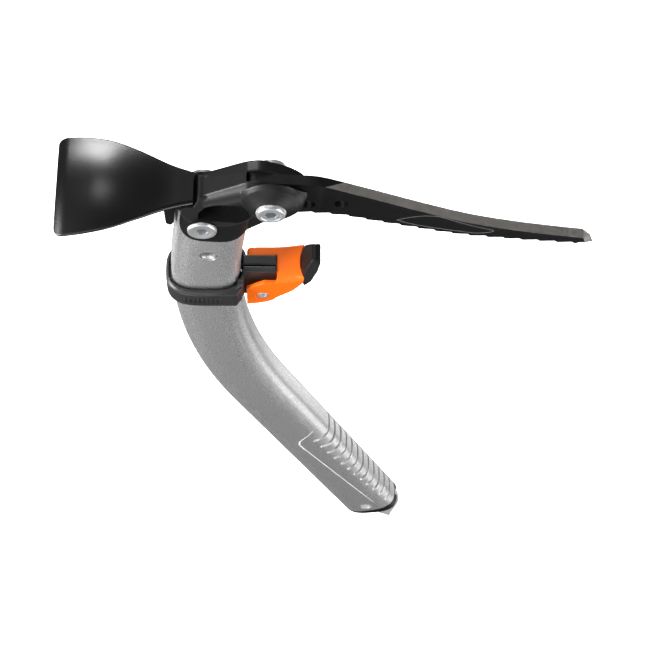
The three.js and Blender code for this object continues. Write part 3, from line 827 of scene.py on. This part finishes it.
PICK_HOLES = ((42, 5.6), (56.6, 8))
PICK_HOLE_R = 3.2
PICK_END = 175                     # where the spine ends and the slanting end begins
PICK_END_Z = -9.6
PICK_TIP = (178.2, -16.4)
BARE_START = (47.5, 57)            # x where the bare spine begins, near edge and far edge
BARE_PLACE = Vector((BARE_START[0], -PICK_HALF, 0))
TEETH = 17
TOOTH_START = 35.8
TOOTH_PITCH = 8.2
TOOTH_RUN = 1.7                    # length of a tooth's steep side
TOOTH_HALF = 0.55                  # half a tooth's height
PICK_SPINE = [(20, 22.3), (33, 22.5), (42, 22.8), (48, 21.8), (59, 18.1), (70, 14.2), (93, 5.8),
              (116, -1.6), (139, -6), (160, -8.3), (172.4, -9.2), (PICK_END, PICK_END_Z)]
PICK_LOWER = [(34, -1.4), (47, -0.9), (54, -1.1), (61, -2), (72, -4.6), (84, -7), (95, -9.2),
              (107, -11.5), (120, -13), (141, -13.9), (180, -14.2)]


def tooth(i):
    """Side outline of one tooth, from its point up its steep side."""
    high_x = TOOTH_START + i * TOOTH_PITCH
    low_x = high_x + TOOTH_RUN
    high = (high_x, value_at(PICK_LOWER, high_x) + TOOTH_HALF)
    low_z = value_at(PICK_LOWER, low_x) - TOOTH_HALF
    point = (low_x - 0.2, low_z + 0.08)
    return [(low_x + 0.5, low_z + 0.05), point] + quad(
        point, (high[0] + 0.4, high[1] + 0.1), high, 4)


def pick_outline():
    """Side outline of the pick: spine, slanting end, teeth from the tip back, and root."""
    points = [(13.4, 19)] + quad((13.4, 19), (13.4, 22.3), (17, 22.3))
    points += spline(PICK_SPINE, 8) + [PICK_TIP]
    points += quad(PICK_TIP, (174.5, -12.9), (171.2, -13.3), 5)
    for i in range(TEETH - 1, -1, -1):
        points += tooth(i)
    points += [(34.6, -0.8), (32, 3.4), (19, 3.4)]
    return points + quad((19, 3.4), (15.2, 6.5), (13.4, 12))


def grind_tip(body):
    """Takes the corner off each side of the pick's slanting end."""
    lean = (PICK_TIP[0] - PICK_END) / (PICK_TIP[1] - PICK_END_Z)
    for side in (-1, 1):
        grind = [(-4, side * 3.1), (9, side * 3.1), (9, 0), (0, 0)]
        low, high = [[(x + lean * z + PICK_END, y, z + PICK_END_Z) for x, y in grind]
                     for z in (-14, 5)]
        cut(body, skin([low, high]))


def bare_steel(body):
    """The kind of each face: 0 coated, 1 bare spine, 2 ground end.

    The mesh first gets a slanting edge across it, where the bare spine begins.
    """
    slanted = Vector((2 * PICK_HALF, BARE_START[0] - BARE_START[1], 0))
    work = bmesh.new()
    work.from_mesh(body.data)
    bmesh.ops.bisect_plane(work, geom=work.verts[:] + work.edges[:] + work.faces[:],
                           plane_co=BARE_PLACE, plane_no=slanted)
    kinds = []
    for face in work.faces:
        spot = face.calc_center_median()
        past = (spot - BARE_PLACE).dot(slanted) > 0
        on_top = face.normal.z > 0.75 and spot.z > value_at(PICK_SPINE, spot.x) - 1.5
        ground = spot.x > PICK_END - 3.2 and face.normal.x > 0.5
        kinds.append(2 if ground else 1 if on_top and past else 0)
    work.to_mesh(body.data)
    work.free()
    return kinds


def pick():
    """The toothed blade with its two holes, coated but for its spine and its end."""
    body = prism(pick_outline(), -PICK_HALF, PICK_HALF)
    grind_tip(body)
    for at in PICK_HOLES:
        cut(body, rod(at, PICK_HOLE_R, -6, 6, 48))
    bevel(body, 0.28, 2, 24)
    kinds = bare_steel(body)
    result = piece(body, "pick_blade", BLADE, HEAD, "axe", "pick")
    body.data.materials.append(BARE_SPINE[0])
    body.data.materials.append(BARE_TIP[0])
    for polygon, kind in zip(body.data.polygons, kinds):
        polygon.material_index = kind
    return result


def etched_outline(side):
    """A fine leaf-shaped line etched into the side of the blade."""
    top = [(83.4, -3), (88, -0.6), (93.3, 1.5), (98.5, 2.4), (104, 1.6), (110.6, -1.2),
           (118.7, -4.2), (125.2, -6.1), (129, -7.4)]
    low = [(127.4, -9.2), (122, -10.6), (114.2, -10), (104.4, -8.6), (95, -6.9), (88.9, -5.3)]
    path = spline(top + low + [top[0]], 6)
    half = 0.14
    rings = []
    for i, (x, z) in enumerate(path[:-1]):
        run = direction(path[i - 1 if i else -2], path[(i + 1) % (len(path) - 1)])
        ring = []
        for across, lift in ((1, -0.08), (1, 0.02), (-1, 0.02), (-1, -0.08)):
            ring.append((x + run.y * across * half, side * (PICK_HALF + lift),
                         z - run.x * across * half))
        rings.append(ring)
    name = "etched_leaf_" + ("near" if side < 0 else "far")
    return piece(skin(rings, closed=True), name, ETCHED, HEAD, "axe", crease=0)


# ------------------------------------------------------------------ head fasteners


BOLT_TURN = 12                     # degrees that the bolts' sockets are turned by
SOCKET_SKIN = 0.15                 # thickness of the darker disc on a socket's floor, which paints the shade in the socket


def hexagon(at, radius, turn):
    """Six points round a place, the first of them turned by turn degrees."""
    return [(at[0] + radius * math.cos((turn + 60 * i) * DEG),
             at[1] + radius * math.sin((turn + 60 * i) * DEG)) for i in range(6)]


def headed_bolt(name, at, profile, socket_r, socket_depth, node):
    """A bolt whose turned head faces -y, with a hexagon socket in it."""
    face = min(y for _, y in profile)
    floor = face + socket_depth
    body = turned(at, profile, 72)
    cut(body, prism(hexagon(at, socket_r, BOLT_TURN), face - 1, floor))
    piece(body, name, ZINC, HEAD, "axe", node, crease=30)
    # a darker disc on the socket's floor: painted shade
    disc = prism(hexagon(at, socket_r + 0.1, BOLT_TURN), floor - SOCKET_SKIN, floor)
    piece(disc, name + "_socket_painted_shade", SOCKET_PAINTED_SHADE, HEAD, "axe")


def shaft_bolt():
    """The bolt through tongues and shaft, and the nut with a sleeve on its far side."""
    seat = TONGUE_OUT + 0.1
    headed_bolt("shaft_bolt_head", SHAFT_BOLT, [
        (0, -seat - 1.2), (3.6, -seat - 1.2), (4.4, -seat - 1.4), (5.9, -seat - 1.4),
        (6.5, -seat - 1.05), (6.7, -seat - 0.5), (6.7, -seat), (3, -seat), (3, seat + 1.2),
        (0, seat + 1.2)], 2.9, 1.2, "shaft_bolt")
    sleeve = turned(SHAFT_BOLT, [
        (3.2, seat), (6.7, seat), (6.7, seat + 0.8), (6.2, seat + 1.5), (3.2, seat + 1.5)], 72)
    piece(sleeve, "shaft_bolt_sleeve", ZINC, HEAD, "axe", "shaft_bolt_nut")


def pick_bolt():
    """The bolt through cheeks and pick, its washer on the boss, and its sunk nut."""
    seat = BOSS_OUT + 0.02
    washer = turned(PICK_BOLT, [
        (4.4, -seat), (6.8, -seat), (6.8, -seat - 0.5), (6.65, -seat - 0.65),
        (4.4, -seat - 0.65)], 72)
    piece(washer, "pick_bolt_washer", ZINC, HEAD, "axe", "pick_washer")
    seat = seat + 0.7
    far_seat = CHEEK_OUT - 0.15
    headed_bolt("pick_bolt_head", PICK_BOLT, [
        (0, -seat - 1), (4.3, -seat - 1), (4.7, -seat - 1.25), (5.8, -seat - 1.25),
        (6.3, -seat - 0.95), (6.5, -seat - 0.45), (6.5, -seat), (4, -seat), (4, far_seat + 1.6),
        (0, far_seat + 1.6)], 3.1, 0.9, "pick_bolt")
    sleeve = turned(PICK_BOLT, [
        (4.2, far_seat), (7, far_seat), (7, far_seat + 1.4), (6.4, far_seat + 2.1),
        (4.2, far_seat + 2.1)], 72)
    piece(sleeve, "pick_bolt_sleeve", ZINC, HEAD, "axe", "pick_bolt_nut")


# ------------------------------------------------------------------ hand rest

COLLAR_HALF = 6                    # half the band's height
COLLAR_A = 19.3                    # half depth
COLLAR_B = 14.9                    # half width
SPLIT_Y = -1.5                     # the slit between the two lugs
SPLIT_HALF = 0.45
RIBS = 9
RIB_PITCH = 2.1
RIB_HALF = 0.5
RIB_OUT = 0.4                      # how far the ribs stand out


def band():
    """The oval ring, rounded at its upper edge."""
    levels = [(0, -COLLAR_HALF), (0, COLLAR_HALF - 1.7), (0.3, COLLAR_HALF - 1.0),
              (1.2, COLLAR_HALF)]
    rings = []
    for inset, z in levels:
        rings.append([(x, y, z) for x, y in oval(COLLAR_A - inset, COLLAR_B - inset)])
    return skin(rings)


def shoulders():
    """The squarer front of the band, where the lugs grow out of it."""
    wall = COLLAR_B - 0.05
    square = [(1, wall), (13.6, wall)]
    square += quad((13.6, wall), (15.2, wall), (15.5, 13.4), 4)
    square += [(17.2, 11)]
    square += [(x, -y) for x, y in reversed(square)]
    return prism(square, 0.02 - COLLAR_HALF, COLLAR_HALF - 0.9, "xy")


def raised_front():
    """The part of the band's front that stands higher, behind the lever."""
    rise = prism(oval(19.4, 13.2), -COLLAR_HALF, 9.6, "xy")
    return common(rise, box(13, 30, -9.2, 9.2, -20, 20))


def lug_outline():
    """Side outline of the lugs: round about the pivot below, square above."""
    points = [(LUG_BACK, -11.6), (PIVOT[0], -11.6)]
    points += arc(PIVOT, 5.2, -90, 0)
    return points + [(LUG_END, PIVOT[1]), (LUG_END, LUG_TOP), (LUG_BACK, LUG_TOP)]


def collar():
    """The split band with its two lugs."""
    body = join(band(), shoulders(), raised_front(), prism(lug_outline(), -LUG_OUT, LUG_OUT - 0.8))
    cut(body,
        prism(oval(SHAFT_A + 1.3, SHAFT_B + 1.3), -30, 30, "xy"),
        box(10, 40, SPLIT_Y - SPLIT_HALF, SPLIT_Y + SPLIT_HALF, -30, 30))
    soften(body, 0.3, 5)
    return piece(body, "collar_band", BLACK, REST, "hand_rest", "collar", crease=0)


def collar_ribs():
    """Small raised grip ribs on the near face of the band."""
    for i in range(RIBS):
        x = (i - (RIBS - 1) / 2) * RIB_PITCH - 1.5
        y = oval_half_width(x, COLLAR_A, COLLAR_B)
        rib = box(x - RIB_HALF, x + RIB_HALF, -y - RIB_OUT, -y + RIB_OUT, -2.8, 1.4)
        bevel(rib, 0.2, 3)
        piece(rib, f"collar_rib_{i + 1}", BLACK, REST, "hand_rest")


# x, top z and lower edge z of the lever cover
COVER_SECTIONS = [
    (19.4, 7.2, -15.2), (20.8, 9.4, -15.1), (25, 10, -14.2), (29.4, 10.1, -12.4),
    (32, 10.2, -10.6), (34, 10.3, -7.8), (37.5, 10.8, -4.6), (41, 11.6, -1.2),
    (44, 12.4, 3.2), (46.8, 13, 8.6), (49, 13.5, 11.8)]
COVER_START = 15                   # behind the cover's rear end
SCREW_SEAT_R = 3.5
BEAK_GAP = 0.08                    # between cover and beak


def ball(centre, radius):
    """A ball turned about the axis across the axe."""
    sides = 96                     # from pole to pole
    half_turn = [(radius * math.sin(a * math.pi / sides), -radius * math.cos(a * math.pi / sides))
                 for a in range(sides + 1)]
    return turned(centre, half_turn, 2 * sides)


def seam_ball(radius):
    """The ball that the seam of cover and beak is part of, of this radius."""
    return ball((BEAK_SEAM_X + BEAK_SEAM_R, BEAK_SEAM_Z), radius)


def cover_section(x, top, foot):
    """The cover's section at x: its near top edge is rounder than its far one."""
    lip = [(COVER_OUT - 1.2, foot), (COVER_OUT - 0.3, foot + 0.3), (COVER_OUT, foot + 1.2)]
    far = lip + arc((COVER_OUT - 1, top - 1), 1, 0, 90, 5)
    r = min(3.2, (top - foot) / 3)
    near = lip + arc((COVER_OUT - r, top - r), r, 0, 90, 8)
    section = far + [(-y, z) for y, z in reversed(near)]
    return [(x, y, z) for y, z in section]


def cover_hollow():
    """Side outline of the room for the lugs, rounded in front and open behind and below."""
    points = [(COVER_START, 8), (COVER_BACK, 8), (COVER_BACK, PIVOT[1])]
    points += arc(PIVOT, COVER_BACK - PIVOT[0], 0, -90)
    return points + [(PIVOT[0], -20), (COVER_START, -20)]


def trigger_cover():
    """The orange lever, hollow behind, open above the lugs and cut down on its near side."""
    body = skin([cover_section(*station) for station in spline(COVER_SECTIONS, 4)])
    dip = [(COVER_START, -2), (31.5, 10.2), (31.5, 20), (COVER_START, 20)]
    near_wall = -COVER_IN + 0.5
    cut(body,
        prism(cover_hollow(), -COVER_IN, COVER_IN),
        box(COVER_START, COVER_BACK, -COVER_IN, LUG_OUT - 0.4, 0, 20),
        box(COVER_START, COVER_BACK - 0.1, -12, near_wall, 7.4, 20),
        prism(dip, -12, near_wall),
        seam_ball(BEAK_SEAM_R),
        rod(PIVOT, SCREW_SEAT_R, -THROUGH, -COVER_OUT + 1.2),
        rod(PIVOT, SCREW_SEAT_R, COVER_OUT - 1.2, THROUGH))
    soften(body, 0.27, 4)
    return piece(body, "lever_cover", ORANGE, REST, "trigger", "trigger_cover", crease=0)


def trigger_beak():
    """The rubber end of the lever, from its side outline and its rounded front outline."""
    profile = [(42, 2.4), (42, 12.8), (45.4, 13.2), (50.4, 21.6)]
    profile += quad((50.4, 21.6), (52.6, 22.8), (54.6, 20.2), 5)
    profile += [(53, 15), (50.2, 9.8), (47.6, 6), (44.6, 2.4)]
    front = [(-COVER_OUT, 0), (COVER_OUT, 0), (COVER_OUT, 11.4), (5.6, 20)]
    front += quad((5.6, 20), (4.6, 22.4), (2.2, 22.4), 6)
    front += [(-2, 22.4)]
    front += quad((-2, 22.4), (-4.2, 22.4), (-5.2, 20), 6)
    front += [(-COVER_OUT, 10)]
    body = common(prism(profile, -12, 12), prism(front, 40, 58, "yz"))
    common(body, seam_ball(BEAK_SEAM_R - BEAK_GAP))
    soften(body, 0.3, 14)
    return piece(body, "lever_beak", RUBBER, REST, "trigger", "trigger_beak", crease=0)


def pivot_screw():
    """The screw that the lever turns on, its head near and its nut far."""
    face = COVER_OUT - 0.2
    seat = COVER_OUT - 1.15
    body = turned(PIVOT, [
        (0, -face + 0.2), (2.3, -face + 0.2), (2.75, -face + 0.4), (2.9, -face + 0.7), (2.9, -seat),
        (1.9, -seat), (1.9, face - 1), (0, face - 1)], 56)
    cut(body, prism(hexagon(PIVOT, 1.6, 10), -face - 1, -face + 0.9))
    piece(body, "pivot_screw_head", ZINC, REST, "hand_rest", "trigger_screw", crease=30)
    nut = turned(PIVOT, [
        (2.1, seat), (3.55, seat), (3.55, face - 0.5), (3.2, face), (2.1, face)], 56)
    piece(nut, "pivot_screw_nut", ZINC, REST, "hand_rest", "trigger_nut")


# ------------------------------------------------------------------ foot of the handle

SPIKE_HALF = 1.5


def end_plug():
    """The black plug under the tube, its lower edge dipping at the front, slit for the spike."""
    skirt = [(-20, SHAFT_FOOT - 0.1), (-20, 35.4), (-13, 34.4), (4, 31.9), (14, 31.2),
             (20, 33.4), (20, SHAFT_FOOT - 0.1)]
    cap = prism(oval(SHAFT_A - 0.05, SHAFT_B - 0.05), 20, SHAFT_FOOT - 0.1, "xy")
    body = common(cap, prism(skirt, -THROUGH, THROUGH))
    slot_half = SPIKE_HALF + 0.15
    cut(body,
        box(-8, 8, -slot_half, slot_half, 30, 55),
        box(-14, 20, -slot_half, slot_half, 20, 36.4))
    soften(body, 0.25, 4)
    return piece(body, "foot_plug", PLUG_BLACK, ROW, "axe", "end_plug", crease=0)


def spike():
    """The steel plate: point, shoulders, the leash eye and the hole for its pin."""
    outline = [(0, 0), (7.6, 11.7)]
    outline += quad((7.6, 11.7), (12.5, 18.6), (14.6, 24))
    outline += quad((14.6, 24), (16.6, 29), (16.9, 36))
    outline += [(7.4, 36), (7.4, 54), (-7.4, 54), (-7.4, 36), (-13, 36)]
    outline += quad((-13, 36), (-12.6, 22), (-4.6, 8.4))
    body = prism(outline, -SPIKE_HALF, SPIKE_HALF)
    cut(body, rod(LEASH_EYE, 5.5, -5, 5, 72), rod(SPIKE_PIN, 4.3, -5, 5))
    bevel(body, 0.3, 2)
    return piece(body, "spike_plate", PLATE_STEEL, ROW, "axe", "spike")


# ------------------------------------------------------------------ assembly

shaft()
printed_border(-1)
printed_border(1)
dished_pin("upper_pin_ends", UPPER_PIN, PIN_STEEL, HEAD, "upper_pin", UPPER_PIN_R, 0.9)
dished_pin("spike_pin_ends", SPIKE_PIN, PALE_PIN, ROW, "spike_pin", SPIKE_PIN_R, 0.12)
head_body()
adze()
pick()
etched_outline(-1)
etched_outline(1)
shaft_bolt()
pick_bolt()
collar()
collar_ribs()
trigger_cover()
trigger_beak()
pivot_screw()
end_plug()
spike()

# inner pieces that keep their CAD shape, and the finish of each
INNER = {"shaft_insert": BLACK, "collar_liner": RUBBER, "adze_dowel_left": PLATE_STEEL,
         "adze_dowel_right": PLATE_STEEL, "cam_washer_near": PLATE_STEEL,
         "cam_washer_far": PLATE_STEEL}
for node, (material, _) in INNER.items():
    obj = frame["nodes"][node]
    obj.data.materials.clear()
    obj.data.materials.append(material)

# ------------------------------------------------------------------ floor, lights, camera

low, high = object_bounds()
CENTRE = Vector([(a + b) / 2 for a, b in zip(low, high)])
FLOOR_DROP = 0.0005
BACKDROP_R = 3.5
BACKDROP_SWEEP = 0.2               # the curve from floor to wall, as a share of the radius
BACKDROP_SIDES = 96
LIGHT_DISTANCE = 1.5
SKY = 0.02
LENS = 107.15
CAMERA_PLACE = (0.3664, -0.4299, 1.0947)

# directions of the main view: to its right, and from the object back to the camera
VIEW_RIGHT = Vector((0.93667, 0, -0.35021))
VIEW_BACK = Vector((0.31477, -0.43837, 0.84188))
VIEW_UP = VIEW_BACK.cross(VIEW_RIGHT)

# name, place as seen in the main view (right, up, back), size, power
LIGHTS = [
    ("left", -0.87, 0, 0.5, 0.9, 46),
    ("right", 0.87, 0, 0.5, 0.9, 12),
    ("above", -0.21, 0.96, 0.18, 0.46, 8.4),
    ("upper_left", -0.17, 0.7, 0.69, 0.32, 0.75),
    ("left_behind", -0.94, 0, -0.34, 0.9, 6),
    ("below_left", -0.43, -0.9, 0.09, 0.9, 5.5),
    ("below_right", 0.43, -0.9, 0.09, 0.9, 7),
    ("right_behind", 0.81, -0.47, -0.34, 0.9, 5.5),
    ("far_behind", 0.65, 0.27, -0.71, 0.9, 5),
    ("front_low", -0.22, -0.53, 0.82, 0.9, 3.8),
]


def white_paper():
    """The backdrop's material: white, and as bright from every side."""
    result, shader = finish("white_paper", None, (0.9, 0.9, 0.9), 0.9)
    shader.inputs["Emission Color"].default_value = (1, 1, 1, 1)
    shader.inputs["Emission Strength"].default_value = 1
    return result[0]


def backdrop_profile():
    """Radius and height of the backdrop, from its middle out and up."""
    flat = 1 - BACKDROP_SWEEP
    profile = [(0.001, 0), (BACKDROP_R * flat, 0)]
    for a in range(15, 91, 15):
        r = BACKDROP_R * (flat + BACKDROP_SWEEP * math.sin(a * DEG))
        profile.append((r, BACKDROP_R * BACKDROP_SWEEP * (1 - math.cos(a * DEG))))
    return profile + [(BACKDROP_R, BACKDROP_R)]


def backdrop():
    """A plain white floor that sweeps up into a round wall; it lights nothing and casts nothing."""
    profile = backdrop_profile()
    sides = BACKDROP_SIDES
    turn = [2 * math.pi * i / sides for i in range(sides)]
    points = [(r * math.cos(a), r * math.sin(a), z) for r, z in profile for a in turn]
    faces = []
    for k in range(len(profile) - 1):
        here, there = k * sides, (k + 1) * sides
        for i in range(sides):
            after = (i + 1) % sides
            faces.append((here + i, here + after, there + after, there + i))
    mesh = bpy.data.meshes.new("backdrop")
    mesh.from_pydata(points, [], faces)
    obj = bpy.data.objects.new("backdrop", mesh)
    bpy.context.scene.collection.objects.link(obj)
    obj.location.z = low[2] - FLOOR_DROP
    mesh.materials.append(white_paper())
    obj.visible_glossy = False
    obj.visible_diffuse = False
    obj.visible_shadow = False


def softbox(name, across, up, back, size, power):
    """A square area light that faces the object, placed by how it lies in the main view."""
    light = bpy.data.lights.new(name, "AREA")
    light.shape = "SQUARE"
    light.size = size
    light.energy = power
    obj = bpy.data.objects.new(name, light)
    toward = (VIEW_RIGHT * across + VIEW_UP * up + VIEW_BACK * back).normalized()
    obj.location = CENTRE + toward * LIGHT_DISTANCE
    obj.rotation_euler = (CENTRE - obj.location).to_track_quat("-Z", "Y").to_euler()
    obj.visible_camera = False
    bpy.context.scene.collection.objects.link(obj)


def camera():
    """The main view: square, with a long lens."""
    data = bpy.data.cameras.new("camera")
    data.sensor_width = 36
    data.sensor_height = 36
    data.lens = LENS
    data.clip_end = 30
    obj = bpy.data.objects.new("camera", data)
    turn = Matrix((VIEW_RIGHT, VIEW_UP, VIEW_BACK)).transposed().to_4x4()
    obj.matrix_world = Matrix.Translation(CAMERA_PLACE) @ turn
    bpy.context.scene.collection.objects.link(obj)
    bpy.context.scene.camera = obj


def world():
    """A faint white light from all round."""
    sky = bpy.data.worlds.new("studio")
    sky.use_nodes = True
    background = sky.node_tree.nodes["Background"]
    background.inputs["Color"].default_value = (1, 1, 1, 1)
    background.inputs["Strength"].default_value = SKY
    bpy.context.scene.world = sky


backdrop()
world()
for light_row in LIGHTS:
    softbox(*light_row)
camera()
bpy.context.scene.view_settings.view_transform = "Standard"
